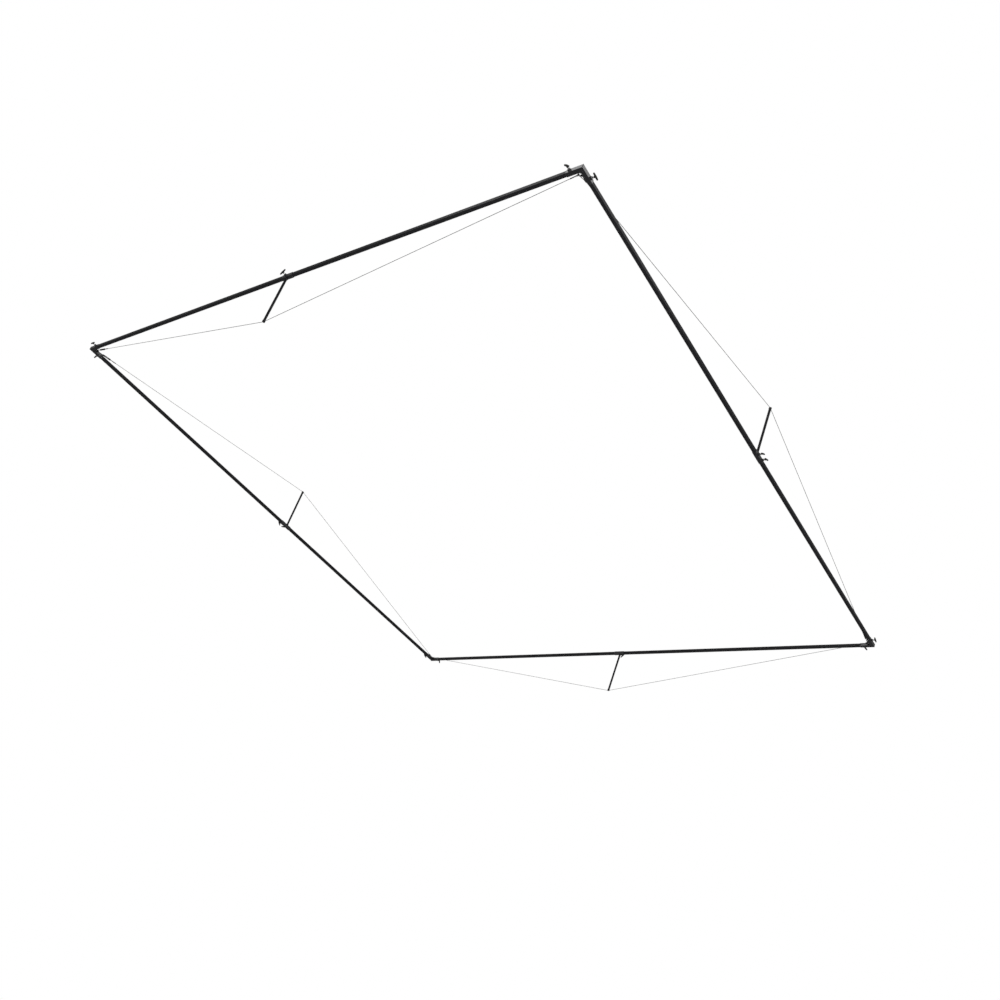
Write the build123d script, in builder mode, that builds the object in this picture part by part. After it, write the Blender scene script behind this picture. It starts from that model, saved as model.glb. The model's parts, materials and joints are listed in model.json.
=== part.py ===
"""Overhead scrim frame with truss bracing.

A square of black square tube, in eight half-side tubes. Corner elbows and mid-side joiners take the
tubes in sleeves, and T-handle screws clamp them. On each side a short strut stands at the middle,
square to the plane of the frame, and a taut wire rope runs from corner eye to strut saddle to corner
eye. Each corner has one eye, on its inner side, which holds the ends of two ropes. The near and far
sides are braced below the frame. The left and right sides, which the stands hold, are braced above it
and have a longer joiner with a second clamp screw.

Row frame: origin at the centre of the square, +Z up through the square, +X to the right.
Side frame: origin at the middle of a side, X along the side, -Y outwards, +Z up. A side runs from
its start to its end anticlockwise, seen from above.
Stay frame: the side frame, turned end for end on a side that is braced below, so that +Z is always
towards the strut. The turnbuckle is at its +X end.
Corner frame: origin at the corner's centre, arms along +X and +Y, the eye between them.
Eye frame: origin at the middle of the gusset's face, Z inwards along the corner's diagonal.
Line frame: origin in the eye's wire where the rope's end pulls on it, Z along the taut rope, X towards
the strut's side.
"""

import os
from math import acos, atan2, cos, degrees, pi, sin, tan

from build123d import *

os.makedirs("parts", exist_ok=True)

# ---------------------------------------------------------------- driving dimensions, mm

frame_outer = 6100.0  # over the outer faces of the corner elbows
tube_size = 30.0  # square tube, over its faces
tube_wall = 2.0
tube_edge_radius = 2.5
slip_gap = 0.5  # between tube and sleeve, each side
sleeve_wall = 2.0
sleeve_edge_radius = 3.0

elbow_arm = 125.0  # corner's centre to the end of each arm
tube_stop = 28.0  # corner's centre to the end of the tube in the arm
elbow_screw_offset = 92.0  # corner's centre to the clamp screw

joiner_tail = 52.0  # strut's axis to the sleeve's end over the riveted tube
joiner_reach = 78.0  # strut's axis to the sleeve's end over the plain tube
stand_joiner_reach = 98.0  # the same, on the sides that the stands hold
stand_screw_offset = 75.0  # strut's axis to the second clamp screw on those sides
spigot_radius = 8.0  # 16 mm grip spigot
spigot_clearance = 0.2
spigot_recess = 1.0  # spigot's end below the sleeve's far face
splice_gap = 1.0  # between the two half-side tubes
splice_overhang = 16.0  # the plain tube's reach past the spigot's axis
foot_collar_wall = 4.0  # collar at the strut's foot, outside the strut's radius
foot_collar_height = 10.0
rivet_radius = 2.4
rivet_hole_clearance = 0.05
rivet_head_radius = 4.8
rivet_head_height = 1.6
rivet_bulb_radius = 3.4
rivet_bulb_length = 4.0
rivet_bulb_flare = 1.0  # bulb's straight part against the tube's wall
rivet_positions = (-29.0, -42.0)  # from the middle of the side, on the fixed tube

screw_radius = 5.0  # M10 clamp screw
screw_clearance = 0.05
screw_tip_gap = 0.05  # tip to tube wall, clamped
boss_radius = 12.0
boss_height = 14.0
boss_chamfer = 1.2
screw_show = 15.0  # bare screw between boss and handle
screw_chamfer = 0.8
handle_hub_wall = 3.0  # round the screw
handle_neck_taper = 1.6  # hub's radius down to its neck under the bar
handle_hub_length = 15.0
handle_rim_height = 2.0  # cylindrical rim at the hub's open end
handle_bar_length = 62.0
handle_bar_radius = 7.8  # at the hub
handle_bar_end_radius = 6.5
handle_grip = 10.0  # screw length inside the hub

gusset_leg = 14.0  # block in the elbow's inner corner, along each arm
gusset_height = 24.0
eye_ring_radius = 14.0  # centre line of the eye bolt's ring
eye_wire_radius = 4.0
eye_ring_sink = 1.0  # ring's centre line into the collar
eye_collar_radius = 8.0
eye_collar_height = 5.0
eye_bolt_radius = 4.0  # M8
eye_bolt_length = 11.0  # in the gusset
eye_bolt_clearance = 0.05

strut_radius = 11.0
strut_wall = 1.5
strut_plug_length = 30.0
plug_chamfer = 1.0  # on the foot collar and the spigot's end
saddle_height = 520.0  # side tube's axis to the rope's corner point over the strut
saddle_radius = 75.0  # rope's bend over the saddle
saddle_brim = 2.0  # head outside the strut
saddle_head_height = 20.0
saddle_taper = 5.0  # height of the head's cone down to the strut
saddle_round = 3.0  # head's upper edge
saddle_plug_length = 22.0
saddle_groove_clearance = 0.3
saddle_lip = 3.0  # head above the rope's axis

rope_radius = 2.0
loop_radius = 10.0  # rope's bend round the thimble
thimble_wall = 0.8
thimble_width = 4.5
thimble_gap = 0.5  # thimble to eye
loop_length = 34.0  # thimble's centre to the ferrule
ferrule_length = 30.0
ferrule_width = 10.0
ferrule_thickness = 6.5

link_ring_radius = 9.0  # turnbuckle's own eye, on its wire's centre line
link_wire_radius = 2.7
turnbuckle_rod_radius = 3.0  # M6, one right-hand thread and one left-hand
link_gap = 0.2  # between linked rings
link_show = 48.0  # link ring's centre line to the turnbuckle
turnbuckle_length = 96.0
turnbuckle_radius = 8.0
turnbuckle_hub = 13.0
turnbuckle_flat = 11.0  # thickness across the two side bars
turnbuckle_window = 8.5
turnbuckle_clearance = 0.05
turnbuckle_chamfer = 1.5
rod_engagement = 30.0  # each rod's length inside the turnbuckle
stud_show = 24.0  # turnbuckle to the swaged sleeve
swage_length = 46.0
swage_radius = 4.25

# ---------------------------------------------------------------- sizes that follow

sleeve_bore = tube_size + 2 * slip_gap
sleeve_size = sleeve_bore + 2 * sleeve_wall
half_sleeve = sleeve_size / 2
half_side = (frame_outer - sleeve_size) / 2  # middle of the frame to a side tube's axis
tube_bore = tube_size - 2 * tube_wall
hole_edge_radius = 1.0  # inner edge radius of tubes and sleeves

boss_top = half_sleeve + boss_height
handle_hub_radius = screw_radius + handle_hub_wall
screw_tip = tube_size / 2 + screw_tip_gap
handle_base = boss_top + screw_show
handle_bar_axis = handle_base + handle_hub_length - handle_bar_radius / 2
screw_end = handle_base + handle_grip

gusset_face = 2**0.5 * (half_sleeve + gusset_leg / 2)  # corner's centre to the gusset's face
eye_inset = (gusset_face + eye_collar_height + eye_ring_radius - eye_ring_sink) / 2**0.5
foot_collar_radius = strut_radius + foot_collar_wall
strut_foot = half_sleeve + foot_collar_height
pull_x = half_side - eye_inset - eye_ring_radius  # middle of the side to where the rope's end pulls
stay_lean = atan2(eye_inset, saddle_height)  # the rope's plane leans in from the strut to the eyes
line_angle = atan2(saddle_height / cos(stay_lean), pull_x)
saddle_arc_sag = saddle_radius * (1 / cos(line_angle) - 1)  # corner point to the rope's axis
saddle_top = saddle_height - saddle_arc_sag + saddle_lip
saddle_head_radius = strut_radius + saddle_brim
strut_top = saddle_top - saddle_head_height

link_centre = link_ring_radius - link_wire_radius - link_gap - eye_wire_radius
turnbuckle_start = link_centre + link_ring_radius + link_show
turnbuckle_end = turnbuckle_start + turnbuckle_length
link_rod_end = turnbuckle_start + rod_engagement
stud_start = turnbuckle_end - rod_engagement
swage_start = turnbuckle_end + stud_show
thimble_bore = loop_radius - rope_radius - thimble_wall
thimble_centre = thimble_bore - thimble_gap - eye_wire_radius
ferrule_start = thimble_centre + loop_length

# each side's turn about the row's Z in degrees, and whether a stand holds it
SIDES = {"near": (0, False), "right": (90, True), "far": (180, False), "left": (270, True)}
CORNERS = {"near_left": 0, "near_right": 90, "far_right": 180, "far_left": 270}

# clamp screws along a side, in its side frame
STATIONS = {
    "start": elbow_screw_offset - half_side,
    "mid": 0.0,
    "stand": stand_screw_offset,
    "end": half_side - elbow_screw_offset,
}

# resting angle of each T-handle about its screw, in degrees; 0 lies along the side, 90 points up
HANDLE_ANGLES = {
    ("near", "start"): 0.0, ("near", "mid"): 50.0, ("near", "end"): -35.0,
    ("right", "start"): -5.0, ("right", "mid"): 30.0, ("right", "stand"): 24.0, ("right", "end"): -20.0,
    ("far", "start"): 50.0, ("far", "mid"): -50.0, ("far", "end"): 65.0,
    ("left", "start"): 20.0, ("left", "mid"): -30.0, ("left", "stand"): 42.0, ("left", "end"): -75.0,
}


def side_location(side):
    """Side frame to row frame."""
    turn, held = SIDES[side]
    return Location((0, 0, 0), (0, 0, turn)) * Location((0, -half_side, 0))


def stay_location(side):
    """Stay frame to row frame."""
    turn, held = SIDES[side]
    return side_location(side) * Location((0, 0, 0), (0, 0 if held else 180, 0))


def corner_location(corner):
    """Corner frame to row frame."""
    return Location((0, 0, 0), (0, 0, CORNERS[corner])) * Location((-half_side, -half_side, 0))


def screw_location(along):
    """Screw frame, whose Z is the screw's axis outwards, to side frame."""
    return Location((along, 0, 0), (90, 0, 0))


def eye_plane():
    """Eye frame, in the corner frame, with X level along the gusset's face."""
    middle = half_sleeve + gusset_leg / 2
    return Plane(origin=(middle, middle, 0), x_dir=(1, -1, 0), z_dir=(1, 1, 0))


def line_plane(end):
    """Line frame at the stay's end, +1 or -1, in the stay frame."""
    rise = Vector(0, -sin(stay_lean), cos(stay_lean))
    along = Vector(end, 0, 0)
    towards_saddle = rise * sin(line_angle) - along * cos(line_angle)
    to_strut_side = rise * cos(line_angle) + along * sin(line_angle)
    return Plane(origin=(end * pull_x, eye_inset, 0), x_dir=to_strut_side, z_dir=towards_saddle)


def write(shape, name):
    """Labels a piece and writes it as its own node."""
    shape.label = name
    export_step(shape, f"parts/{name}.step")


# ---------------------------------------------------------------- corner elbow


def make_elbow():
    """Mitred sleeve with a boss on each arm's outer face and a tapped gusset in its inner corner."""
    with BuildPart() as elbow:
        with BuildSketch(Plane.XY.offset(-half_sleeve)):
            with BuildLine():
                Polyline(
                    (-half_sleeve, -half_sleeve),
                    (elbow_arm, -half_sleeve),
                    (elbow_arm, half_sleeve),
                    (half_sleeve, half_sleeve),
                    (half_sleeve, elbow_arm),
                    (-half_sleeve, elbow_arm),
                    close=True,
                )
            make_face()
        extrude(amount=sleeve_size)
        long_edges = elbow.edges().filter_by(lambda e: e.length > sleeve_size + sleeve_edge_radius)
        outer_corner = elbow.edges().filter_by(Axis.Z).sort_by(lambda e: e.center().X + e.center().Y)[0]
        fillet(long_edges + [outer_corner], sleeve_edge_radius)
        with BuildSketch(Plane.XY.offset(-gusset_height / 2)):
            with BuildLine():
                Polyline(
                    (half_sleeve - sleeve_wall, half_sleeve - sleeve_wall),
                    (half_sleeve + gusset_leg, half_sleeve - sleeve_wall),
                    (half_sleeve + gusset_leg, half_sleeve),
                    (half_sleeve, half_sleeve + gusset_leg),
                    (half_sleeve - sleeve_wall, half_sleeve + gusset_leg),
                    close=True,
                )
            make_face()
        extrude(amount=gusset_height)
        for arm_end, inwards in ((Plane.YZ.offset(elbow_arm), -1), (Plane.XZ.offset(-elbow_arm), 1)):
            with BuildSketch(arm_end):
                RectangleRounded(sleeve_bore, sleeve_bore, hole_edge_radius)
            extrude(amount=inwards * (elbow_arm + sleeve_bore / 2), mode=Mode.SUBTRACT)
        for face, outwards in ((Plane.XZ.offset(half_sleeve), 1), (Plane.YZ.offset(-half_sleeve), -1)):
            with BuildSketch(face):
                with Locations((elbow_screw_offset, 0)):
                    Circle(boss_radius)
            extrude(amount=outwards * boss_height)
            flat_faces = elbow.faces().filter_by(GeomType.PLANE)
            boss_end = flat_faces.sort_by(Axis((0, 0, 0), face.z_dir * outwards))[-1]
            chamfer(boss_end.edges(), boss_chamfer)
            with BuildSketch(face):
                with Locations((elbow_screw_offset, 0)):
                    Circle(screw_radius + screw_clearance)
            extrude(amount=outwards * boss_height, mode=Mode.SUBTRACT)
            with BuildSketch(face):
                with Locations((elbow_screw_offset, 0)):
                    Circle(screw_radius + screw_clearance)
            extrude(amount=-outwards * sleeve_wall, mode=Mode.SUBTRACT)
        with BuildSketch(eye_plane()):
            Circle(eye_bolt_radius + eye_bolt_clearance)
        extrude(amount=-gusset_face, mode=Mode.SUBTRACT)
    return elbow.part


# ---------------------------------------------------------------- side tubes


def make_tube(start, end):
    """Square tube between two places along the side, with no holes yet."""
    with BuildPart() as tube:
        with BuildSketch(Plane.YZ.offset(start)):
            RectangleRounded(tube_size, tube_size, tube_edge_radius)
            RectangleRounded(tube_bore, tube_bore, hole_edge_radius, mode=Mode.SUBTRACT)
        extrude(amount=end - start)
    return tube.part


def make_fixed_tube():
    """Half-side tube that stays riveted in the joiner."""
    with BuildPart() as tube:
        add(make_tube(tube_stop - half_side, -splice_overhang - splice_gap))
        with BuildSketch(Plane.XZ.offset(-tube_size / 2)):
            with Locations(*[(x, 0) for x in rivet_positions]):
                Circle(rivet_radius + rivet_hole_clearance)
        extrude(amount=tube_wall, mode=Mode.SUBTRACT)
    return tube.part


def make_plain_tube():
    """Half-side tube that slides out of the joiner. The strut's spigot crosses it."""
    with BuildPart() as tube:
        add(make_tube(-splice_overhang, half_side - tube_stop))
        with BuildSketch(Plane.XY.offset(-tube_size / 2)):
            Circle(spigot_radius + spigot_clearance)
        extrude(amount=tube_size, mode=Mode.SUBTRACT)
    return tube.part


# ---------------------------------------------------------------- mid-side joiner and its rivets


def make_joiner(reach, screw_places):
    """Sleeve over the splice, with a boss at each clamp screw and a through hole for the strut's spigot."""
    with BuildPart() as joiner:
        with BuildSketch(Plane.YZ.offset(-joiner_tail)):
            RectangleRounded(sleeve_size, sleeve_size, sleeve_edge_radius)
        extrude(amount=joiner_tail + reach)
        with BuildSketch(Plane.XZ.offset(half_sleeve)):
            with Locations(*[(x, 0) for x in screw_places]):
                Circle(boss_radius)
        extrude(amount=boss_height)
        chamfer(joiner.faces().filter_by(Axis.Y).group_by(Axis.Y)[0].edges(), boss_chamfer)
        with BuildSketch(Plane.YZ.offset(-joiner_tail)):
            RectangleRounded(sleeve_bore, sleeve_bore, hole_edge_radius)
        extrude(amount=joiner_tail + reach, mode=Mode.SUBTRACT)
        with BuildSketch(Plane.XZ):
            with Locations(*[(x, 0) for x in screw_places]):
                Circle(screw_radius + screw_clearance)
        extrude(amount=boss_top, mode=Mode.SUBTRACT)
        with BuildSketch(Plane.XY.offset(-half_sleeve)):
            Circle(spigot_radius + spigot_clearance)
        extrude(amount=sleeve_size, mode=Mode.SUBTRACT)
        with BuildSketch(Plane.XZ.offset(-half_sleeve)):
            with Locations(*[(x, 0) for x in rivet_positions]):
                Circle(rivet_radius + rivet_hole_clearance)
        extrude(amount=sleeve_wall, mode=Mode.SUBTRACT)
    return joiner.part


def make_rivet():
    """Blind rivet along +Y, with its head on the sleeve and its bulb inside the tube."""
    tube_inside = tube_bore / 2
    bulb_end = tube_inside - rivet_bulb_length
    bulb_widest = tube_inside - rivet_bulb_flare
    with BuildPart() as rivet:
        with BuildSketch(Plane.XY):
            with BuildLine():
                Polyline(
                    (0, half_sleeve + rivet_head_height),
                    (0, bulb_end),
                    (rivet_radius, bulb_end),
                    (rivet_bulb_radius, bulb_widest),
                    (rivet_bulb_radius, tube_inside),
                    (rivet_radius, tube_inside),
                    (rivet_radius, half_sleeve),
                    (rivet_head_radius, half_sleeve),
                )
                Spline(
                    (rivet_head_radius, half_sleeve),
                    (0, half_sleeve + rivet_head_height),
                    tangents=((0, 1), (-1, 0)),
                )
            make_face()
        revolve(axis=Axis.Y)
    return rivet.part


# ---------------------------------------------------------------- clamp screws and T-handles


def make_screw():
    """Clamp screw, in the screw frame, with chamfered ends."""
    with BuildPart() as screw:
        with BuildSketch(Plane.XY.offset(screw_tip)):
            Circle(screw_radius)
        extrude(amount=screw_end - screw_tip)
        chamfer(screw.edges().filter_by(GeomType.CIRCLE), screw_chamfer)
    return screw.part


def make_handle(angle):
    """Moulded T-handle, in the screw frame: a tapered hub under a waisted bar with round ends."""
    half_bar = handle_bar_length / 2
    shoulder = half_bar - handle_bar_end_radius
    neck_radius = handle_hub_radius - handle_neck_taper
    bar_plane = Plane(origin=(0, 0, handle_bar_axis), x_dir=(1, 0, 0), z_dir=(0, -1, 0))
    bar_plane = bar_plane.rotated((0, 0, angle))
    with BuildPart() as handle:
        with BuildSketch(Plane.XZ):
            with BuildLine():
                Polyline(
                    (0, handle_base),
                    (handle_hub_radius, handle_base),
                    (handle_hub_radius, handle_base + handle_rim_height),
                    (neck_radius, handle_bar_axis),
                    (0, handle_bar_axis),
                    close=True,
                )
            make_face()
        revolve(axis=Axis.Z)
        with BuildSketch(bar_plane):
            with BuildLine():
                Line((-half_bar, 0), (half_bar, 0))
                TangentArc((half_bar, 0), (shoulder, handle_bar_end_radius), tangent=(0, 1))
                Spline(
                    (shoulder, handle_bar_end_radius),
                    (0, handle_bar_radius),
                    (-shoulder, handle_bar_end_radius),
                    tangents=((-1, 0), (-1, 0)),
                )
                TangentArc((-shoulder, handle_bar_end_radius), (-half_bar, 0), tangent=(-1, 0))
            make_face()
        revolve(axis=Axis((0, 0, handle_bar_axis), bar_plane.x_dir))
        with BuildSketch(Plane.XY.offset(handle_base)):
            Circle(screw_radius + screw_clearance)
        extrude(amount=handle_grip + screw_clearance, mode=Mode.SUBTRACT)
    return handle.part


# ---------------------------------------------------------------- corner eyes


def make_eye_bolt():
    """Eye screwed in the gusset, in the eye frame, with its ring level in the plane of the frame."""
    ring_centre = eye_collar_height + eye_ring_radius - eye_ring_sink
    with BuildPart() as bolt:
        with BuildSketch(Plane.XY):
            Circle(eye_collar_radius)
        extrude(amount=eye_collar_height)
        with BuildSketch(Plane.XY):
            Circle(eye_bolt_radius)
        extrude(amount=-eye_bolt_length)
        with BuildSketch(Plane.YZ):
            with Locations((0, ring_centre + eye_ring_radius)):
                Circle(eye_wire_radius)
        revolve(axis=Axis((0, 0, ring_centre), (0, 1, 0)))
    return bolt.part


# ---------------------------------------------------------------- strut and saddle


def make_strut():
    """Round tube, and the collared plug pressed in its foot, whose spigot drops through the joiner."""
    strut_bore = strut_radius - strut_wall
    with BuildPart() as strut_tube:
        with BuildSketch(Plane.XY.offset(strut_foot)):
            Circle(strut_radius)
            Circle(strut_bore, mode=Mode.SUBTRACT)
        extrude(amount=strut_top - strut_foot)
    with BuildPart() as spigot:
        with BuildSketch(Plane.XY.offset(half_sleeve)):
            Circle(foot_collar_radius)
        extrude(amount=foot_collar_height)
        chamfer(spigot.faces().sort_by(Axis.Z)[-1].edges(), plug_chamfer)
        with BuildSketch(Plane.XY.offset(strut_foot)):
            Circle(strut_bore)
        extrude(amount=strut_plug_length)
        with BuildSketch(Plane.XY.offset(half_sleeve)):
            Circle(spigot_radius)
        extrude(amount=spigot_recess - sleeve_size)
        chamfer(spigot.faces().sort_by(Axis.Z)[0].edges(), plug_chamfer)
    return Compound(children=[strut_tube.part, spigot.part])


def make_saddle():
    """Moulded cap on the strut, with a crowned groove that the rope bends over."""
    shoulder = (saddle_head_radius, saddle_top - saddle_round)
    crown = (saddle_head_radius - saddle_round, saddle_top)
    across = (0, cos(stay_lean), sin(stay_lean))
    groove_plane = Plane(origin=(0, 0, saddle_height), x_dir=across, z_dir=(1, 0, 0))
    with BuildPart() as saddle:
        with BuildSketch(Plane.XY.offset(strut_top)):
            Circle(strut_radius - strut_wall)
        extrude(amount=-saddle_plug_length)
        with BuildSketch(Plane.XZ):
            with BuildLine():
                Line((0, strut_top), (strut_radius, strut_top))
                Line((strut_radius, strut_top), (saddle_head_radius, strut_top + saddle_taper))
                Line((saddle_head_radius, strut_top + saddle_taper), shoulder)
                TangentArc(shoulder, crown, tangent=(0, 1))
                Line(crown, (0, saddle_top))
                Line((0, saddle_top), (0, strut_top))
            make_face()
        revolve(axis=Axis.Z)
        groove_half = rope_radius + saddle_groove_clearance
        with BuildSketch(groove_plane):
            with Locations((0, -saddle_arc_sag)):
                Circle(groove_half)
            with Locations((0, saddle_lip - saddle_arc_sag)):
                Rectangle(2 * groove_half, 2 * saddle_lip)
        bend_centre = groove_plane.from_local_coords((0, -saddle_arc_sag - saddle_radius, 0))
        revolve(axis=Axis(bend_centre, groove_plane.x_dir), mode=Mode.SUBTRACT)
    return saddle.part


# ---------------------------------------------------------------- rope with its ends


def make_rope():
    """Wire rope from the swaged stud, over the saddle, to the ferrule."""
    first = line_plane(1).from_local_coords((0, 0, swage_start + swage_length))
    last = line_plane(-1).from_local_coords((0, 0, ferrule_start + ferrule_length))
    with BuildPart() as rope:
        with BuildLine() as route:
            FilletPolyline(first, (0, 0, saddle_height), last, radius=saddle_radius)
        with BuildSketch(Plane(origin=route.line @ 0, z_dir=route.line % 0)):
            Circle(rope_radius)
        sweep()
    return rope.part


def make_swage():
    """Threaded stud swaged on the rope's end, in the line frame."""
    swage_end = swage_start + swage_length
    with BuildPart() as swage:
        with BuildSketch(Plane.XZ):
            with BuildLine():
                Polyline(
                    (0, stud_start),
                    (turnbuckle_rod_radius - 0.5, stud_start),
                    (turnbuckle_rod_radius, stud_start + 0.5),
                    (turnbuckle_rod_radius, swage_start),
                    (swage_radius, swage_start + 2),
                    (swage_radius, swage_end - 8),
                    (rope_radius + 0.6, swage_end),
                    (0, swage_end),
                    close=True,
                )
            make_face()
        revolve(axis=Axis.Z)
    return swage.part


def make_loop():
    """Rope's return loop round the thimble, in the line frame, upright through the eye."""
    leg = rope_radius + 0.1
    reach = ferrule_start - thimble_centre
    span = (leg**2 + reach**2) ** 0.5
    wrap = atan2(leg, reach) + acos(loop_radius / span)
    touch = (loop_radius * sin(wrap), thimble_centre + loop_radius * cos(wrap))
    with BuildPart() as loop:
        with BuildLine(Plane.XZ) as route:
            Line((leg, ferrule_start), touch)
            ThreePointArc(touch, (0, thimble_centre - loop_radius), (-touch[0], touch[1]))
            Line((-touch[0], touch[1]), (-leg, ferrule_start))
        with BuildSketch(Plane(origin=route.line @ 0, z_dir=route.line % 0)):
            Circle(rope_radius)
        sweep()
        with BuildSketch(Plane.XY.offset(ferrule_start)):
            Rectangle(4 * loop_radius, 4 * loop_radius)
        extrude(amount=4 * loop_radius, mode=Mode.SUBTRACT)
    return loop.part


def make_thimble():
    """Steel liner inside the loop, in the line frame."""
    with BuildPart() as thimble:
        with BuildSketch(Plane.YZ):
            with Locations((0, thimble_centre + thimble_bore + thimble_wall / 2)):
                Rectangle(thimble_width, thimble_wall)
        revolve(axis=Axis((0, 0, thimble_centre), (0, 1, 0)))
    return thimble.part


def make_ferrule():
    """Pressed oval ferrule that closes the loop, in the line frame."""
    with BuildPart() as ferrule:
        with BuildSketch(Plane.XY.offset(ferrule_start)):
            SlotOverall(ferrule_width, ferrule_thickness)
        extrude(amount=ferrule_length)
        chamfer(ferrule.faces().filter_by(Axis.Z).edges(), 0.8)
    return ferrule.part


# ---------------------------------------------------------------- turnbuckle


def make_link():
    """Turnbuckle's eye rod, linked through the corner eye, in the line frame."""
    with BuildPart() as link:
        with BuildSketch(Plane.YZ):
            with Locations((0, link_centre + link_ring_radius)):
                Circle(link_wire_radius)
        revolve(axis=Axis((0, 0, link_centre), (0, 1, 0)))
        with BuildSketch(Plane.XY.offset(link_centre + link_ring_radius)):
            Circle(turnbuckle_rod_radius)
        extrude(amount=link_rod_end - link_centre - link_ring_radius)
    return link.part


def make_turnbuckle():
    """Open turnbuckle body, in the line frame: two threaded hubs joined by two side bars."""
    middle = turnbuckle_start + turnbuckle_length / 2
    with BuildPart() as body:
        with BuildSketch(Plane.XY.offset(turnbuckle_start)):
            Circle(turnbuckle_radius)
        extrude(amount=turnbuckle_length)
        chamfer(body.edges().filter_by(GeomType.CIRCLE), turnbuckle_chamfer)
        with BuildSketch(Plane.XZ.offset(-turnbuckle_radius)):
            with Locations((0, middle)):
                SlotOverall(turnbuckle_length - 2 * turnbuckle_hub, turnbuckle_window, rotation=90)
        extrude(amount=2 * turnbuckle_radius, mode=Mode.SUBTRACT)
        with BuildSketch(Plane.XY.offset(turnbuckle_start + turnbuckle_hub)):
            with Locations((0, turnbuckle_radius), (0, -turnbuckle_radius)):
                Rectangle(4 * turnbuckle_radius, 2 * turnbuckle_radius - turnbuckle_flat)
        extrude(amount=turnbuckle_length - 2 * turnbuckle_hub, mode=Mode.SUBTRACT)
        with BuildSketch(Plane.XY.offset(turnbuckle_start)):
            Circle(turnbuckle_rod_radius + turnbuckle_clearance)
        extrude(amount=turnbuckle_length, mode=Mode.SUBTRACT)
    return body.part


# ---------------------------------------------------------------- assembly

elbow_part = make_elbow()
for corner in CORNERS:
    write(elbow_part.moved(corner_location(corner)), f"corner_elbow_{corner}")

eye_part = make_eye_bolt()
eyes = [eye_part.moved(corner_location(corner) * eye_plane().location) for corner in CORNERS]
write(Compound(children=eyes), "corner_eyes")

fixed_tube = make_fixed_tube()
plain_tube = make_plain_tube()
short_joiner = make_joiner(joiner_reach, [0])
stand_joiner = make_joiner(stand_joiner_reach, [0, stand_screw_offset])
for side, (turn, held) in SIDES.items():
    place = side_location(side)
    write(fixed_tube.moved(place), f"tube_{side}_fixed")
    write(plain_tube.moved(place), f"tube_{side}_plain")
    write((stand_joiner if held else short_joiner).moved(place), f"joiner_{side}")

strut_part = make_strut()
rope_part = Compound(children=[make_rope(), line_plane(-1).location * make_loop()])
turnbuckle_part = line_plane(1).location * make_turnbuckle()
for side in SIDES:
    write(strut_part.moved(stay_location(side)), f"strut_{side}")
    write(rope_part.moved(stay_location(side)), f"stay_rope_{side}")
    write(turnbuckle_part.moved(stay_location(side)), f"turnbuckle_{side}")

saddle_part = make_saddle()
write(Compound(children=[saddle_part.moved(stay_location(side)) for side in SIDES]), "strut_saddles")

stay_ends = [(1, make_link()), (1, make_swage()), (-1, make_thimble()), (-1, make_ferrule())]
fittings = [
    piece.moved(stay_location(side) * line_plane(end).location)
    for side in SIDES
    for end, piece in stay_ends
]
write(Compound(children=fittings), "stay_fittings")

rivet_part = make_rivet()
rivets = [
    rivet_part.moved(side_location(side) * Location((along, 0, 0)))
    for side in SIDES
    for along in rivet_positions
]
write(Compound(children=rivets), "joiner_rivets")

screw_part = make_screw()
for (side, station), angle in HANDLE_ANGLES.items():
    place = side_location(side) * screw_location(STATIONS[station])
    write(screw_part.moved(place), f"clamp_screw_{side}_{station}")
    write(make_handle(angle).moved(place), f"t_handle_{side}_{station}")
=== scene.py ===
"""Overhead scrim frame with truss bracing: the looks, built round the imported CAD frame.

Row frame: origin at the centre of the square, +Z up through it, metres. In use the frame leans about
the axis through its two stands, so the camera and the lights are placed in upright studio axes.
Stay frame: X along a side, -Y outwards, +Z to the strut, as in the CAD.
"""

import json
import math

import bpy
from mathutils import Matrix, Vector


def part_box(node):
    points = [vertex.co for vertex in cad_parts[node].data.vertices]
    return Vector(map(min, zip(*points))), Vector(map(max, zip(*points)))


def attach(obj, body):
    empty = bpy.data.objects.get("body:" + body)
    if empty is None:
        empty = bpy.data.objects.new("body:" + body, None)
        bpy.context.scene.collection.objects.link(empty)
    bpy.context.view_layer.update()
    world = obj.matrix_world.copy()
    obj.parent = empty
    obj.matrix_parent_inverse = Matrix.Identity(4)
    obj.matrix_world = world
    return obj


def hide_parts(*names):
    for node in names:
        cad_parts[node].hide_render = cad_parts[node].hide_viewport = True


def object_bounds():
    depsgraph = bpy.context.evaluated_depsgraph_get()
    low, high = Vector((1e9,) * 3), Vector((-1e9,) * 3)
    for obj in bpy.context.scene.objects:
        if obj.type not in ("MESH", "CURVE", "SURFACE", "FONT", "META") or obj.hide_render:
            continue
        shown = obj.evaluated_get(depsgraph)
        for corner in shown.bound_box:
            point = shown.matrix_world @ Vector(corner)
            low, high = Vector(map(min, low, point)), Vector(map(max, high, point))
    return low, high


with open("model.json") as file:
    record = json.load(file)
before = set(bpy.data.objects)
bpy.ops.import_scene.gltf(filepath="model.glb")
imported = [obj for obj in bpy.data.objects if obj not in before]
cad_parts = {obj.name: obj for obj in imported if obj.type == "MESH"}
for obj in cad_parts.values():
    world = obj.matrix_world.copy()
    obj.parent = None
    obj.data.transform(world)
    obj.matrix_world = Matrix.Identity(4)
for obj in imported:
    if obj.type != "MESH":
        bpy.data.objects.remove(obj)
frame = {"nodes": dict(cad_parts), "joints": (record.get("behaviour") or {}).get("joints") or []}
cad_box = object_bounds()

# ---------------------------------------------------------------- sizes, metres

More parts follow.
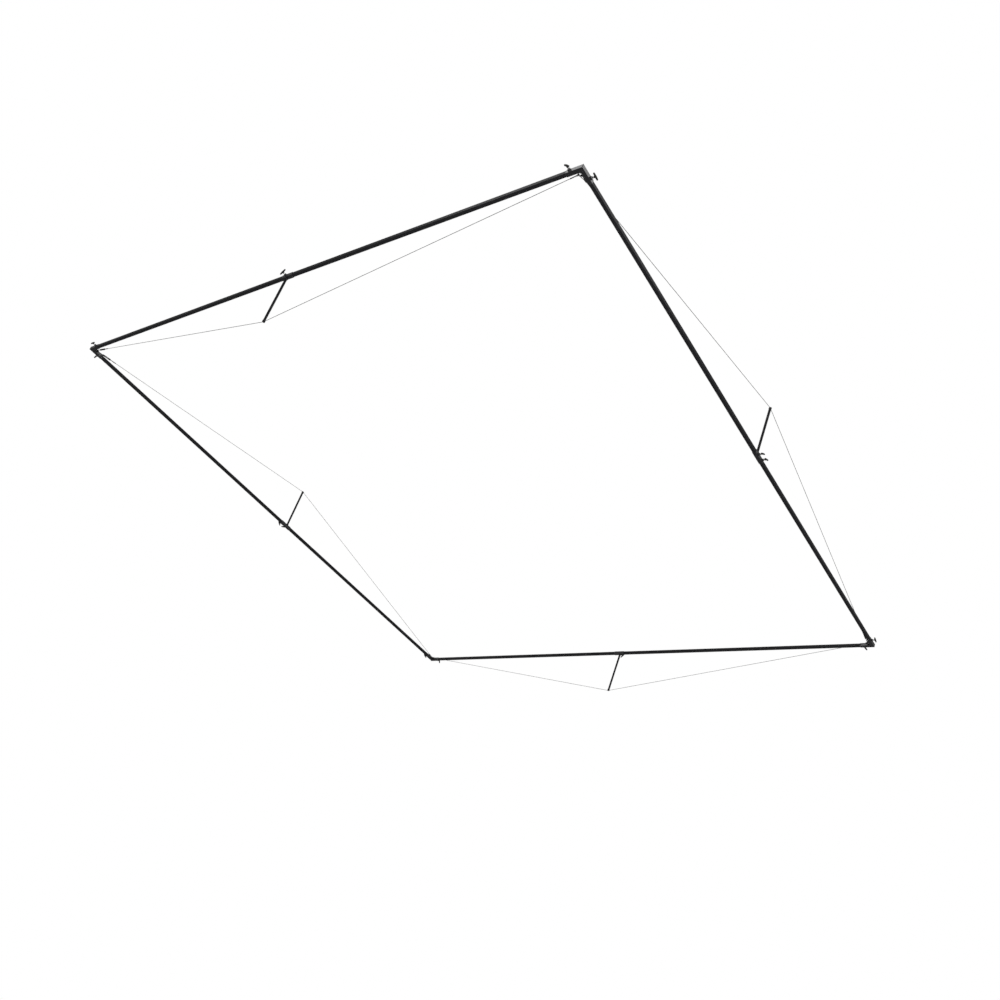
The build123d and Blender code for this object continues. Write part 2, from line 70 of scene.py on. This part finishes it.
HALF_SIDE = 3.0325  # middle of the frame to a side tube's axis
HALF_SLEEVE = 0.0175
CORNER_NEAR_RIGHT = (HALF_SIDE, -HALF_SIDE, 0)
CORNER_FAR_LEFT = (-HALF_SIDE, HALF_SIDE, 0)
BOSS_RADIUS = 0.012
GUSSET_LEG = 0.014
GUSSET_HEIGHT = 0.024
SCREW_RADIUS = 0.005
SCREW_PITCH = 0.0015
SCREW_THREAD_DEPTH = 0.0009
ROD_RADIUS = 0.003
ROD_PITCH = 0.001
ROD_THREAD_ROOT = ROD_RADIUS + 0.00003  # just over the plain CAD rod
ROD_THREAD_CREST = ROD_RADIUS + 0.0003
THREAD_FLANK = 2.3  # how steeply a thread rises from root to crest, in thread depths over a pitch
THREAD_GAP = 0.0005  # plain rod between a thread and what the rod goes into
BEAD_RIPPLE = 0.10  # of the bead's radius
BEAD_RIPPLE_LENGTH = 0.0024
BEAD_STEP = 0.0003
BEAD_LIFT = 0.0004  # bead's centre line off the faces that it joins
BOSS_BEAD = 0.0016  # beads' radii
GUSSET_BEAD = 0.0013
MITRE_BEAD = 0.0012
EYE_INSET = 0.03723  # side tube's axis to the centre of the corner's eye ring
EYE_RING = 0.014  # radius of the ring's centre line
SADDLE_HEIGHT = 0.520
ROPE_RADIUS = 0.002
ROPE_CREST = 1.04 * ROPE_RADIUS  # a strand's back
ROPE_VALLEY = 0.90 * ROPE_RADIUS  # between two strands
ROPE_LAY = 0.036  # one turn of the strands
ROPE_STRANDS = 6
SWAGE_END = 0.2251  # from the eye's wire, along the rope's line, to where the rope leaves the swage
FERRULE_START = 0.0367  # from the eye's wire to the ferrule, at the looped end
FERRULE_LENGTH = 0.030
LINK_RING_END = 0.0111  # from the eye's wire to the eye rod's shank
PLAIN_SHANK = 0.012  # of the eye rod, before its thread
TURNBUCKLE_START = 0.0591
TURNBUCKLE_HUB = 0.013
TURNBUCKLE_LENGTH = 0.096
ROD_ENGAGEMENT = 0.030  # each rod in the turnbuckle
STUD_THREAD = 0.022  # turnbuckle to the end of the swaged stud's thread
THIMBLE_CENTRE = 0.0027
LOOP_RADIUS = 0.010
HALF_LEG_GAP = 0.0001  # between the loop's two legs, at the ferrule
PULL_X = HALF_SIDE - EYE_INSET - EYE_RING  # middle of the side to where the rope's end pulls
RISE = Vector((0, -EYE_INSET, SADDLE_HEIGHT))  # the rope's plane leans in from the strut to the eyes
LINE_ANGLE = math.atan2(RISE.length, PULL_X)

# each side's turn about Z, and whether it is braced above the frame
SIDES = {"near": (0, False), "right": (90, True), "far": (180, False), "left": (270, True)}

# ---------------------------------------------------------------- camera and studio

TILT = math.radians(-30.2)  # the frame's lean in use
CAMERA_HEADING = math.radians(131.15)
CAMERA_PLACE = Vector((2.462, -3.0013, -0.6942)) * HALF_SIDE
FOCAL = 1.1452  # focal length over the image's width
IMAGE_CENTRE = (0.446, 0.7015)  # where the level view axis meets the image
FLOOR_DROP = 7.0  # floor below the frame, clear of a camera that looks up at it
FROM_STUDIO = Matrix.Rotation(TILT, 3, "X").inverted()
ROOM_LOW, ROOM_HIGH = 0.07, 0.36  # light of the room from below and from overhead
ROOM_BELOW, ROOM_ABOVE = -0.6, 0.8  # heights of the directions where those lights are reached
FLOOR_REACH = 60.0
FLOOR_GLOW = 0.6

# name, the point of the frame that sees it, its studio direction, distance, size and radiance
SOFTBOXES = [
    ("overhead_softbox", CORNER_NEAR_RIGHT, (-0.51, 0, 0.86), 9.0, 3.6, 1.7),
    ("right_softbox", CORNER_NEAR_RIGHT, (0.51, 0.75, 0.42), 9.0, 3.2, 1.8),
    ("left_softbox", CORNER_FAR_LEFT, (-0.67, -0.33, 0.67), 9.0, 2.4, 1.0),
    ("front_softbox", (0, 0, 0), (0.75, -0.60, -0.05), 16.0, 5.0, 14.0),
]


def make_camera():
    """Level camera below the leaning frame."""
    forward = Vector((math.cos(CAMERA_HEADING), math.sin(CAMERA_HEADING), 0))
    up = Vector((0, 0, 1))
    axes = Matrix((forward.cross(up), up, -forward)).transposed()
    data = bpy.data.cameras.new("camera")
    data.sensor_width = 36
    data.lens = FOCAL * data.sensor_width
    data.shift_x = 0.5 - IMAGE_CENTRE[0]
    data.shift_y = IMAGE_CENTRE[1] - 0.5
    data.clip_end = 100
    camera = bpy.data.objects.new("camera", data)
    camera.matrix_world = Matrix.Translation(FROM_STUDIO @ CAMERA_PLACE) @ (FROM_STUDIO @ axes).to_4x4()
    bpy.context.scene.collection.objects.link(camera)
    bpy.context.scene.camera = camera


def make_softbox(name, target, direction, distance, size, radiance):
    """Square area light that a point of the frame sees in the given studio direction."""
    data = bpy.data.lights.new(name, "AREA")
    data.size = size
    data.energy = radiance * math.pi * size**2
    light = bpy.data.objects.new(name, data)
    towards = FROM_STUDIO @ Vector(direction).normalized()
    light.matrix_world = (
        Matrix.Translation(Vector(target) + towards * distance)
        @ towards.to_track_quat("Z", "Y").to_matrix().to_4x4()
    )
    light.visible_camera = False
    bpy.context.scene.collection.objects.link(light)


def make_world():
    """White backdrop, with a dimmer room that is brighter overhead than below."""
    world = bpy.data.worlds.new("studio")
    world.use_nodes = True
    tree = world.node_tree
    room = tree.nodes["Background"]
    backdrop = tree.nodes.new("ShaderNodeBackground")
    backdrop.inputs["Color"].default_value = (1, 1, 1, 1)
    coords = tree.nodes.new("ShaderNodeTexCoord")
    height = tree.nodes.new("ShaderNodeSeparateXYZ")
    tree.links.new(coords.outputs["Generated"], height.inputs[0])
    level = tree.nodes.new("ShaderNodeMapRange")
    level.inputs["From Min"].default_value = ROOM_BELOW
    level.inputs["From Max"].default_value = ROOM_ABOVE
    level.inputs["To Min"].default_value = ROOM_LOW
    level.inputs["To Max"].default_value = ROOM_HIGH
    tree.links.new(height.outputs["Z"], level.inputs["Value"])
    room.inputs["Color"].default_value = (1, 1, 1, 1)
    tree.links.new(level.outputs["Result"], room.inputs["Strength"])
    seen = tree.nodes.new("ShaderNodeLightPath")
    choice = tree.nodes.new("ShaderNodeMixShader")
    tree.links.new(seen.outputs["Is Camera Ray"], choice.inputs[0])
    tree.links.new(room.outputs[0], choice.inputs[1])
    tree.links.new(backdrop.outputs[0], choice.inputs[2])
    tree.links.new(choice.outputs[0], tree.nodes["World Output"].inputs["Surface"])
    bpy.context.scene.world = world


def make_floor():
    """Pale studio floor far below the overhead frame."""
    look = Look("studio_floor")
    shade = look.noise(3, 2)
    look.finish(look.tint(shade, (0.86, 0.86, 0.86), (0.9, 0.9, 0.9)), look.levels(shade, 0, 1, 0.7, 0.8))
    look.shader.inputs["Emission Color"].default_value = (1, 1, 1, 1)
    look.shader.inputs["Emission Strength"].default_value = FLOOR_GLOW
    data = bpy.data.meshes.new("studio_floor")
    level = cad_box[0][2] - FLOOR_DROP
    corners = [(x * FLOOR_REACH, y * FLOOR_REACH, level) for x, y in ((-1, -1), (1, -1), (1, 1), (-1, 1))]
    data.from_pydata(corners, [], [(0, 1, 2, 3)])
    data.materials.append(look.material)
    floor = bpy.data.objects.new("studio_floor", data)
    floor.visible_glossy = False
    bpy.context.scene.collection.objects.link(floor)


# ---------------------------------------------------------------- materials


class Look:
    """A node material in the making. Its patterns follow the object's own coordinates, in metres."""

    def __init__(self, name, metallic=0.0, specular=0.5):
        self.material = bpy.data.materials.new(name)
        self.material.use_nodes = True
        self.tree = self.material.node_tree
        self.shader = self.tree.nodes["Principled BSDF"]
        self.shader.inputs["Metallic"].default_value = metallic
        self.shader.inputs["Specular IOR Level"].default_value = specular
        self.coords = self.node("ShaderNodeTexCoord").outputs["Object"]

    def node(self, kind, values=None, **settings):
        """Adds a node. A value is a number, a colour or another node's socket."""
        made = self.tree.nodes.new(kind)
        for key, value in settings.items():
            setattr(made, key, value)
        for key, value in (values or {}).items():
            if isinstance(value, bpy.types.NodeSocket):
                self.tree.links.new(value, made.inputs[key])
            else:
                made.inputs[key].default_value = value
        return made

    def noise(self, scale, detail, stretch=(1, 1, 1)):
        place = self.node("ShaderNodeMapping", {"Vector": self.coords, "Scale": stretch})
        sockets = {"Vector": place.outputs[0], "Scale": scale, "Detail": detail}
        return self.node("ShaderNodeTexNoise", sockets).outputs["Fac"]

    def grains(self, scale):
        """Distance to the nearest of scattered points."""
        sockets = {"Vector": self.coords, "Scale": scale}
        return self.node("ShaderNodeTexVoronoi", sockets).outputs["Distance"]

    def levels(self, value, low, high, new_low, new_high):
        sockets = {"Value": value, "From Min": low, "From Max": high, "To Min": new_low, "To Max": new_high}
        return self.node("ShaderNodeMapRange", sockets).outputs["Result"]

    def maths(self, operation, a, b):
        made = self.node("ShaderNodeMath", {0: a, 1: b}, operation=operation)
        return made.outputs[0]

    def tint(self, share, first, second):
        """Blend of two colours, each of which may be a socket."""
        made = self.node("ShaderNodeMix", data_type="RGBA")
        for socket, value in (("Factor_Float", share), ("A_Color", first), ("B_Color", second)):
            target = next(s for s in made.inputs if s.identifier == socket)
            if isinstance(value, bpy.types.NodeSocket):
                self.tree.links.new(value, target)
            else:
                target.default_value = (*value, 1)
        return next(s for s in made.outputs if s.identifier == "Result_Color")

    def edges(self, radius, breakup):
        """Share of edge: high along sharp edges, broken up by the given pattern. It marks wear, and on the
        tubes and sleeves also a painted edge highlight.
        """
        soft = self.node("ShaderNodeBevel", {"Radius": radius}, samples=4).outputs["Normal"]
        true = self.node("ShaderNodeNewGeometry").outputs["Normal"]
        turn = self.node("ShaderNodeVectorMath", {0: soft, 1: true}, operation="DOT_PRODUCT")
        edge = self.levels(turn.outputs["Value"], 0.995, 0.85, 0, 1)
        return self.maths("MULTIPLY", edge, self.levels(breakup, 0.42, 0.6, 0, 1))

    def finish(self, color, roughness, height=None, strength=0.3, distance=0.0005):
        self.tree.links.new(color, self.shader.inputs["Base Color"])
        self.tree.links.new(roughness, self.shader.inputs["Roughness"])
        if height is not None:
            sockets = {"Height": height, "Strength": strength, "Distance": distance}
            bump = self.node("ShaderNodeBump", sockets)
            self.tree.links.new(bump.outputs[0], self.shader.inputs["Normal"])
        return self.material


def anodised(name, along):
    """Black anodised tube: die lines along it, handling scuffs, a little dust and bared corners. The
    lighter corners are also a painted edge highlight along the rounded edges.
    """
    stretch = [1.0] * 3
    stretch[along] = 0.012
    look = Look(name, specular=0.12)
    lines = look.noise(900, 3, stretch)
    cloud = look.noise(6, 4)
    dust = look.levels(look.noise(2300, 2), 0.66, 0.74, 0, 1)
    scuff_stretch = [6.0] * 3
    scuff_stretch[along] = 0.7
    scuffs = look.levels(look.noise(28, 8, scuff_stretch), 0.63, 0.72, 0, 1)
    # Mask of the lighter edges: partly bared corners, partly a painted highlight on the rounded edges.
    wear_and_edge_highlight = look.edges(0.0012, look.noise(55, 5))
    color = look.tint(cloud, (0.006, 0.006, 0.007), (0.011, 0.011, 0.012))
    color = look.tint(look.levels(lines, 0.35, 0.75, 0, 0.5), color, (0.018, 0.018, 0.020))
    color = look.tint(look.maths("MULTIPLY", scuffs, 0.5), color, (0.05, 0.05, 0.053))
    color = look.tint(look.maths("MULTIPLY", dust, 0.25), color, (0.12, 0.115, 0.11))
    # Lightens the edges to grey: wear and a painted edge highlight.
    color = look.tint(look.maths("MULTIPLY", wear_and_edge_highlight, 0.7), color, (0.22, 0.22, 0.225))
    roughness = look.levels(cloud, 0.3, 0.7, 0.27, 0.37)
    roughness = look.maths("ADD", roughness, look.levels(lines, 0.3, 0.7, -0.03, 0.06))
    roughness = look.maths("ADD", roughness, look.maths("MULTIPLY", scuffs, 0.18))
    return look.finish(color, roughness, lines, 0.12, 0.0002)


def powder_coat():
    """Black powder coat of a fine orange-peel texture, rubbed bright on its edges. The bright edges are
    also a painted edge highlight.
    """
    look = Look("sleeve_powder_coat", specular=1.0)
    peel = look.noise(620, 2)
    fine = look.noise(1900, 2)
    cloud = look.noise(9, 4)
    # Mask of the lighter edges: partly rubbed coat, partly a painted highlight on the edges.
    wear_and_edge_highlight = look.edges(0.0016, look.noise(120, 6))
    chips = look.levels(look.grains(160), 0.0, 0.09, 1, 0)
    chips = look.maths("MULTIPLY", chips, look.levels(cloud, 0.5, 0.62, 0, 1))
    color = look.tint(cloud, (0.006, 0.006, 0.007), (0.012, 0.012, 0.013))
    color = look.tint(look.levels(fine, 0.45, 0.75, 0, 0.5), color, (0.022, 0.022, 0.024))
    color = look.tint(look.maths("MULTIPLY", chips, 0.6), color, (0.16, 0.16, 0.165))
    # Lightens the edges to grey: wear and a painted edge highlight.
    color = look.tint(look.maths("MULTIPLY", wear_and_edge_highlight, 0.8), color, (0.24, 0.24, 0.25))
    roughness = look.levels(cloud, 0.3, 0.7, 0.22, 0.32)
    roughness = look.maths("ADD", roughness, look.maths("MULTIPLY", wear_and_edge_highlight, -0.05))
    height = look.maths("ADD", peel, look.maths("MULTIPLY", fine, 0.4))
    return look.finish(color, roughness, height, 0.22, 0.0002)


def weld():
    """Weld bead under the powder coat, duller than the sleeve, with soot in its ripples."""
    look = Look("weld_powder_coat", specular=0.4)
    fine = look.noise(1500, 3)
    cloud = look.noise(60, 3)
    color = look.tint(cloud, (0.010, 0.010, 0.011), (0.03, 0.03, 0.032))
    return look.finish(color, look.levels(fine, 0.3, 0.7, 0.4, 0.6), fine, 0.3, 0.0003)


def moulded(name, shade):
    """Glass-filled nylon: fine grain, fibre flecks and handled, shinier edges."""
    look = Look(name, specular=0.35)
    grain = look.noise(2600, 3)
    cloud = look.noise(70, 4)
    flecks = look.levels(look.noise(1700, 2, (1, 1, 0.25)), 0.66, 0.72, 0, 1)
    rubbed = look.edges(0.002, look.noise(150, 4))
    color = look.tint(cloud, [0.6 * shade] * 3, [1.3 * shade] * 3)
    color = look.tint(look.maths("MULTIPLY", flecks, 0.2), color, (0.09, 0.09, 0.09))
    color = look.tint(look.maths("MULTIPLY", rubbed, 0.4), color, [3.2 * shade] * 3)
    roughness = look.levels(grain, 0.3, 0.7, 0.44, 0.58)
    roughness = look.maths("ADD", roughness, look.maths("MULTIPLY", rubbed, -0.14))
    return look.finish(color, roughness, grain, 0.3, 0.0002)


def plated(name, dark, bright, rough, forged):
    """Plated steel: a clouded plating, duller in patches and bright on rubbed edges."""
    look = Look(name, metallic=1.0)
    cloud = look.noise(140, 5)
    spots = look.levels(look.noise(900, 3), 0.6, 0.7, 0, 1)
    skin = look.noise(420 if forged else 1800, 3)
    rubbed = look.edges(0.0009, look.noise(320, 4))
    color = look.tint(cloud, [dark] * 3, [bright] * 3)
    color = look.tint(look.maths("MULTIPLY", spots, 0.45), color, [0.5 * dark] * 3)
    color = look.tint(look.maths("MULTIPLY", rubbed, 0.6), color, [min(1.9 * bright, 0.8)] * 3)
    roughness = look.levels(cloud, 0.3, 0.7, rough - 0.07, rough + 0.09)
    return look.finish(color, roughness, skin, 0.35 if forged else 0.12, 0.0003)


def rope_wire():
    """Blackened wire strands, with dry grease in the valleys."""
    look = Look("black_rope_wire", metallic=0.7)
    wires = look.noise(2200, 2)
    grease = look.noise(45, 4)
    color = look.tint(wires, (0.03, 0.03, 0.032), (0.10, 0.10, 0.104))
    color = look.tint(look.levels(grease, 0.5, 0.7, 0, 0.7), color, (0.02, 0.018, 0.016))
    roughness = look.levels(grease, 0.3, 0.7, 0.38, 0.6)
    return look.finish(color, roughness, wires, 0.5, 0.0002)


# ---------------------------------------------------------------- mesh pieces


class Shape:
    """Mesh in the making, from tubes swept along lists of points."""

    def __init__(self):
        self.vertices = []
        self.faces = []

    def sweep(self, points, across, outline, closed=False):
        """Tube along points. outline(s) gives its section at arc length s, as (across, up) offsets."""
        first = len(self.vertices)
        length = 0.0
        last = len(points) - 1
        sides = len(outline(0.0))
        for i, point in enumerate(points):
            before = points[i - 1] if closed or i else point
            after = points[(i + 1) % len(points)] if closed or i < last else point
            tangent = (after - before).normalized()
            up = tangent.cross(across).normalized()
            side = up.cross(tangent)
            self.vertices += [point + side * u + up * v for u, v in outline(length)]
            length += (after - point).length
        for i in range(len(points) if closed else last):
            a, b = first + i * sides, first + (i + 1) % len(points) * sides
            for j in range(sides):
                k = (j + 1) % sides
                self.faces.append((a + j, a + k, b + k, b + j))
        if not closed:
            end = first + last * sides
            self.faces.append(tuple(reversed(range(first, first + sides))))
            self.faces.append(tuple(range(end, end + sides)))

    def piece(self, name, material, body):
        """Object of the mesh, which rides on a body and takes its finish from a slot."""
        data = bpy.data.meshes.new(name)
        data.from_pydata(self.vertices, [], self.faces)
        data.materials.append(material)
        data.polygons.foreach_set("use_smooth", [len(f) == 4 for f in self.faces])
        data.update()
        made = bpy.data.objects.new(name, data)
        bpy.context.scene.collection.objects.link(made)
        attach(made, body)
        return made


def straight(start, end, step):
    """Evenly spaced points of a line, about a step apart."""
    count = max(1, round((end - start).length / step))
    return [start.lerp(end, i / count) for i in range(count + 1)]


def strands(s):
    """Rope's section at arc length s: strands, laid right-handed."""
    turn = 2 * math.pi * s / ROPE_LAY
    radii = (ROPE_CREST, ROPE_VALLEY)
    angles = [(turn + math.pi * j / ROPE_STRANDS, radii[j % 2]) for j in range(2 * ROPE_STRANDS)]
    return [(radius * math.cos(angle), radius * math.sin(angle)) for angle, radius in angles]


def threads(root, crest, pitch, sides, length=0.0):
    """Section of a screw thread. Given the length, the thread runs out over a pitch at both ends."""

    def outline(s):
        out = []
        ends = min(1.0, s / pitch, (length - s) / pitch) if length else 1.0
        for j in range(sides):
            phase = (s / pitch - j / sides) % 1.0
            height = max(0.0, THREAD_FLANK * (0.5 - abs(phase - 0.5))) * max(0.0, ends)
            radius = root + (crest - root) * min(1.0, height)
            angle = 2 * math.pi * j / sides
            out.append((radius * math.cos(angle), radius * math.sin(angle)))
        return out

    return outline


def bead(radius):
    """Section of a weld bead, rippled along its length."""

    def outline(s):
        here = radius * (1 + BEAD_RIPPLE * math.sin(2 * math.pi * s / BEAD_RIPPLE_LENGTH))
        return [(here * math.cos(math.pi * j / 4), here * math.sin(math.pi * j / 4)) for j in range(8)]

    return outline


# ---------------------------------------------------------------- places


def stay_matrix(side):
    """Stay frame to row frame. A side braced below is turned over end for end."""
    turn, above = SIDES[side]
    over = Matrix.Rotation(0 if above else math.pi, 4, "Y")
    return Matrix.Rotation(math.radians(turn), 4, "Z") @ Matrix.Translation((0, -HALF_SIDE, 0)) @ over


def on_line(end, along, up=0.0):
    """Point by the stay's line, in the stay frame: along it from the end's eye, and up from it."""
    rise = RISE.normalized()
    outwards = Vector((end, 0, 0))
    towards_saddle = rise * math.sin(LINE_ANGLE) - outwards * math.cos(LINE_ANGLE)
    to_strut_side = rise * math.cos(LINE_ANGLE) + outwards * math.sin(LINE_ANGLE)
    return Vector((end * PULL_X, EYE_INSET, 0)) + along * towards_saddle + up * to_strut_side


def rope_route():
    """Rope's route in the stay frame, with one more point each side of the saddle, six diameters off."""
    to_saddle = math.hypot(PULL_X, RISE.length)
    beside = 12 * ROPE_RADIUS
    return [
        on_line(1, SWAGE_END),
        on_line(1, to_saddle - beside),
        Vector((0, 0, SADDLE_HEIGHT)),
        on_line(-1, to_saddle - beside),
        on_line(-1, FERRULE_START + FERRULE_LENGTH),
    ]


def smooth_line(name, route):
    """Points of the NURBS line that has the route as its control points."""
    data = bpy.data.curves.new(name, "CURVE")
    data.dimensions = "3D"
    data.resolution_u = 16
    spline = data.splines.new("NURBS")
    spline.points.add(len(route) - 1)
    for point, place in zip(spline.points, route):
        point.co = (*place, 1)
    spline.order_u = 3
    spline.use_endpoint_u = True
    curve = bpy.data.objects.new(name, data)
    line = bpy.data.meshes.new_from_object(curve)
    points = [vertex.co.copy() for vertex in line.vertices]
    bpy.data.objects.remove(curve)
    bpy.data.meshes.remove(line)
    return points


def evenly(points, step):
    """The same line with points at most a step apart."""
    out = [points[0]]
    for a, b in zip(points, points[1:]):
        out += straight(a, b, step)[1:]
    return out


def loop_line():
    """Rope's return loop in the stay frame: out of the ferrule, round the thimble and back."""
    leg = ROPE_RADIUS + HALF_LEG_GAP
    reach = FERRULE_START - THIMBLE_CENTRE
    wrap = math.atan2(leg, reach) + math.acos(LOOP_RADIUS / math.hypot(leg, reach))
    steps = 40
    out = [(leg, FERRULE_START)]
    for i in range(steps + 1):
        angle = wrap + (2 * math.pi - 2 * wrap) * i / steps
        out.append((LOOP_RADIUS * math.sin(angle), THIMBLE_CENTRE + LOOP_RADIUS * math.cos(angle)))
    out.append((-leg, FERRULE_START))
    return [on_line(-1, along, up) for up, along in out]


# ---------------------------------------------------------------- pieces


def make_ropes(wire):
    """Each side's stay, as one stranded rope and its loop, in place of the plain CAD tube."""
    for side in SIDES:
        place = stay_matrix(side)
        plane_normal = place.to_3x3() @ Vector((1, 0, 0)).cross(RISE).normalized()
        line = evenly([place @ p for p in smooth_line("route", rope_route())], ROPE_LAY / 12)
        rope_shape = Shape()
        rope_shape.sweep(line, plane_normal, strands)
        rope = rope_shape.piece(f"stranded_rope_{side}", wire, "frame")
        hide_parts(f"stay_rope_{side}")
        loop_shape = Shape()
        loop_shape.sweep(evenly([place @ p for p in loop_line()], ROPE_LAY / 18), plane_normal, strands)
        loop = loop_shape.piece(f"rope_loop_{side}", wire, "frame")


def make_rod_threads(steel):
    """Rolled threads on the bare lengths of each stay's two rods."""
    shape = Shape()
    turnbuckle_end = TURNBUCKLE_START + TURNBUCKLE_LENGTH
    stretches = [
        (LINK_RING_END + PLAIN_SHANK, TURNBUCKLE_START - THREAD_GAP),
        (TURNBUCKLE_START + TURNBUCKLE_HUB + THREAD_GAP, TURNBUCKLE_START + ROD_ENGAGEMENT - THREAD_GAP),
        (turnbuckle_end - ROD_ENGAGEMENT + THREAD_GAP, turnbuckle_end - TURNBUCKLE_HUB - THREAD_GAP),
        (turnbuckle_end + THREAD_GAP, turnbuckle_end + STUD_THREAD),
    ]
    for side in SIDES:
        place = stay_matrix(side)
        across = place.to_3x3() @ Vector((0, 1, 0))
        for start, end in stretches:
            line = straight(place @ on_line(1, start), place @ on_line(1, end), ROD_PITCH / 6)
            section = threads(ROD_THREAD_ROOT, ROD_THREAD_CREST, ROD_PITCH, 16, end - start)
            shape.sweep(line, across, section)
    shape.piece("rod_threads", steel, "frame")


def screws():
    """Name, middle, outward direction and half length of every clamp screw."""
    for joint in frame["joints"]:
        if joint["type"] == "slide":
            low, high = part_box(joint["child"])
            outwards = Vector(joint["axis"])
            yield joint["child"], (low + high) / 2, outwards, abs((high - low).dot(outwards)) / 2


def make_screws(steel):
    """Threaded clamp screws, in place of the plain CAD ones."""
    for node, middle, outwards, half in screws():
        shape = Shape()
        line = straight(middle - outwards * half, middle + outwards * half, SCREW_PITCH / 6)
        section = threads(SCREW_RADIUS - SCREW_THREAD_DEPTH, SCREW_RADIUS, SCREW_PITCH, 20, 2 * half)
        shape.sweep(line, Vector((0, 0, 1)), section)
        screw = shape.piece(f"threaded_{node}", steel, node)
        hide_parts(node)


def ring_points(centre, normal, radius, count=72):
    """Points of a circle."""
    one = normal.orthogonal().normalized()
    two = normal.cross(one)
    angles = [2 * math.pi * i / count for i in range(count)]
    return [centre + radius * (one * math.cos(a) + two * math.sin(a)) for a in angles]


def make_welds(material):
    """Beads round the foot of every boss, along the elbows' mitres and round the gussets."""
    bosses = Shape()
    for _, middle, outwards, _ in screws():
        foot = middle - outwards * (middle.dot(outwards) - HALF_SIDE - HALF_SLEEVE)
        points = ring_points(foot + outwards * BEAD_LIFT, outwards, BOSS_RADIUS + BEAD_LIFT)
        bosses.sweep(points, outwards, bead(BOSS_BEAD), closed=True)
    bosses.piece("boss_welds", material, "frame")
    mitres = Shape()
    reach = HALF_SLEEVE - MITRE_BEAD
    for x in (-1, 1):
        for y in (-1, 1):
            for z in (-1, 1):
                level = z * (HALF_SLEEVE - BEAD_LIFT)
                outer = Vector((x * (HALF_SIDE + reach), y * (HALF_SIDE + reach), level))
                inner = Vector((x * (HALF_SIDE - reach), y * (HALF_SIDE - reach), level))
                line = straight(outer, inner, BEAD_STEP)
                mitres.sweep(line, Vector((x, -y, 0)).normalized(), bead(MITRE_BEAD))
            root = Vector((x * (HALF_SIDE - HALF_SLEEVE), y * (HALF_SIDE - HALF_SLEEVE), 0))
            along_x = root - Vector((x * GUSSET_LEG, 0, 0))
            along_y = root - Vector((0, y * GUSSET_LEG, 0))
            up = Vector((0, 0, GUSSET_HEIGHT / 2))
            turns = [along_x - up, along_x + up, root + up, along_y + up, along_y - up, root - up]
            around = evenly([*turns, turns[0]], BEAD_STEP)[:-1]
            mitres.sweep(around, Vector((x, -y, 1)), bead(GUSSET_BEAD), closed=True)
    mitres.piece("mitre_welds", material, "frame")


def dress(prefix, material):
    """Gives every CAD node of that name a material."""
    for name, node in frame["nodes"].items():
        if name.startswith(prefix):
            for slot in node.material_slots:
                slot.material = material


# ---------------------------------------------------------------- making
# A longer prefix is dressed after a shorter one that also fits it.

make_camera()
make_world()
make_floor()
for softbox in SOFTBOXES:
    make_softbox(*softbox)

tube_x = anodised("anodised_tube_x", 0)
tube_y = anodised("anodised_tube_y", 1)
for side_name, tube_look in (("near", tube_x), ("far", tube_x), ("left", tube_y), ("right", tube_y)):
    dress(f"tube_{side_name}", tube_look)
sleeve_look = powder_coat()
dress("corner_elbow", sleeve_look)
dress("joiner_", sleeve_look)
dress("joiner_rivets", plated("rivet_black", dark=0.03, bright=0.07, rough=0.35, forged=False))
dress("strut_", anodised("anodised_strut", 2))
dress("strut_saddles", moulded("saddle_nylon", 0.014))
dress("t_handle", moulded("handle_nylon", 0.010))
dress("turnbuckle_", plated("turnbuckle_steel", dark=0.05, bright=0.12, rough=0.38, forged=True))
fitting_steel = plated("fitting_steel", dark=0.05, bright=0.11, rough=0.36, forged=False)
dress("stay_fittings", fitting_steel)
dress("corner_eyes", plated("eye_steel", dark=0.025, bright=0.06, rough=0.45, forged=True))
make_ropes(rope_wire())
make_rod_threads(fitting_steel)
make_screws(plated("screw_steel", dark=0.42, bright=0.60, rough=0.26, forged=False))
make_welds(weld())

bpy.context.scene.view_settings.view_transform = "Standard"
